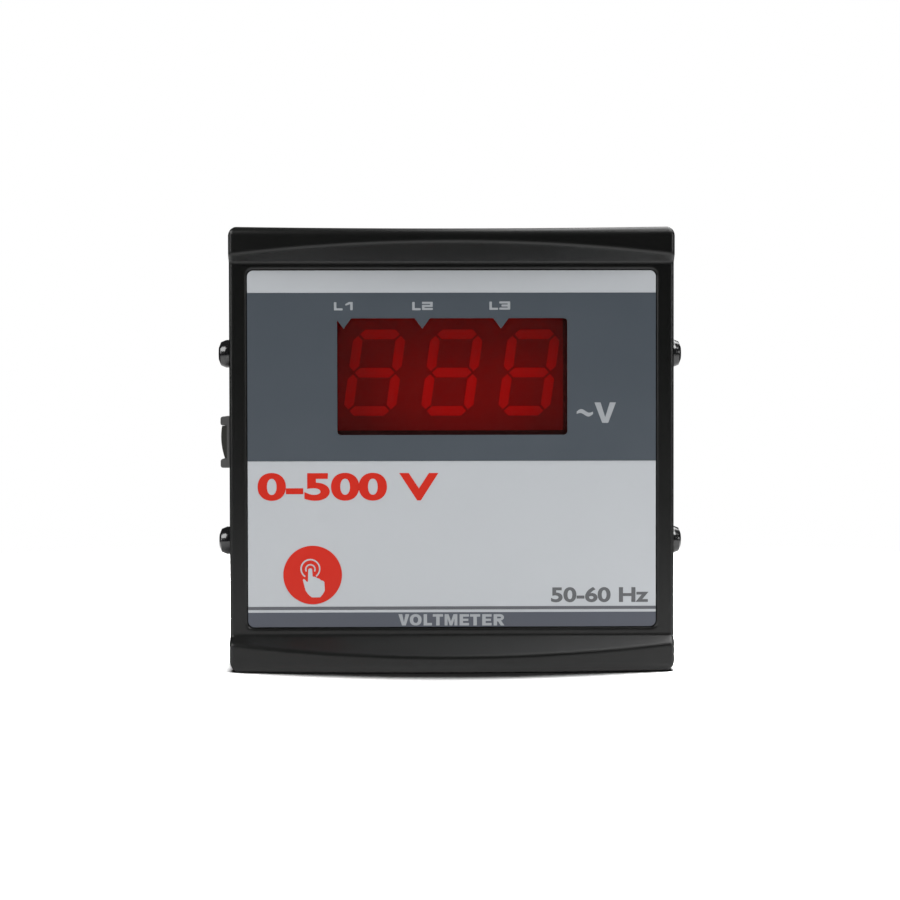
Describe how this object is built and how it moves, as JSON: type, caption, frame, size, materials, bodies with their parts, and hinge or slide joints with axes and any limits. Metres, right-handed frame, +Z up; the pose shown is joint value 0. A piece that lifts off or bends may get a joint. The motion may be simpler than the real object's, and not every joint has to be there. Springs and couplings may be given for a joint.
{
  "type": "digital panel meter",
  "caption": "Square digital panel meter with bowed rails, a red display window, a printed front with a key, side clamps and rear screw terminals.",
  "frame": {"origin": "centre of the panel cut-out, on the plane where the bezel's back meets the panel", "axes": "+Y back into the panel along the case, +X to the right seen from the front, +Z up"},
  "size_m": [0.0784, 0.076, 0.072],
  "materials": {
    "bezel_plastic": "fine satin moulding",
    "case_plastic": "fine matt moulding",
    "film_light": "satin printed film",
    "print_dark": "satin print",
    "print_red": "satin print",
    "red_window": "clear red",
    "display_face": "matt",
    "display_segment": "matt",
    "board_green": "solder mask",
    "tinned": "tinned",
    "chip_black": "matt",
    "screw_black": "black coated, glossy",
    "steel": "zinc plated",
    "clamp_plastic": "satin moulding",
    "holder_grey": "matt moulding",
    "pad_dark": "matt",
    "key_white": "matt moulding",
    "core_iron": "stacked sheets",
    "bobbin_nylon": "matt",
    "winding_tape": "wrapped tape",
    "can_sleeve": "shrunk sleeve",
    "resistor_coat": "lacquer",
    "terminal_green": "matt moulding"
  },
  "bodies": {
    "meter": {"bezel": "bezel_plastic", "front_label": "film_light", "label_dark_band": "print_dark", "label_foot_bands": "print_dark", "label_key_disc": "print_red", "display_filter": "red_window", "display_housing": "display_face", "display_segments": "display_segment", "display_pins": "tinned", "front_board": "board_green", "controller_chip": "chip_black", "key_switch": "chip_black", "case_body": "case_plastic", "rear_cover": "case_plastic", "clamp_screws_left": "screw_black", "clamp_screws_right": "screw_black", "main_board": "board_green", "board_header": "chip_black", "header_pins": "tinned", "transformer_core": "core_iron", "transformer_bobbin": "bobbin_nylon", "transformer_winding": "winding_tape", "smoothing_capacitors": "can_sleeve", "voltage_regulator": "chip_black", "bridge_rectifier": "chip_black", "input_resistors": "resistor_coat", "terminal_block": "terminal_green", "terminal_cages": "steel", "terminal_screws": "steel", "terminal_pins": "tinned"},
    "clamp_left": {"clamp_left": "clamp_plastic", "pad_holder": "holder_grey", "thumb_pad": "pad_dark"},
    "clamp_right": {"clamp_right": "clamp_plastic"},
    "key": {"key_plunger": "key_white", "key_switch_stem": "key_white"}
  },
  "joints": [
    {"name": "key_press", "type": "slide", "parent": "meter", "child": "key", "axis": [0, 1, 0], "range_m": [0, 0.00025], "stiffness_N_per_m": 3000, "springref_m": -0.0002},
    {"name": "clamp_left_slide", "type": "slide", "parent": "meter", "child": "clamp_left", "axis": [0, -1, 0], "range_m": [-0.003, 0.005]},
    {"name": "clamp_right_slide", "type": "slide", "parent": "meter", "child": "clamp_right", "axis": [0, -1, 0], "range_m": [-0.003, 0.005]}
  ]
}
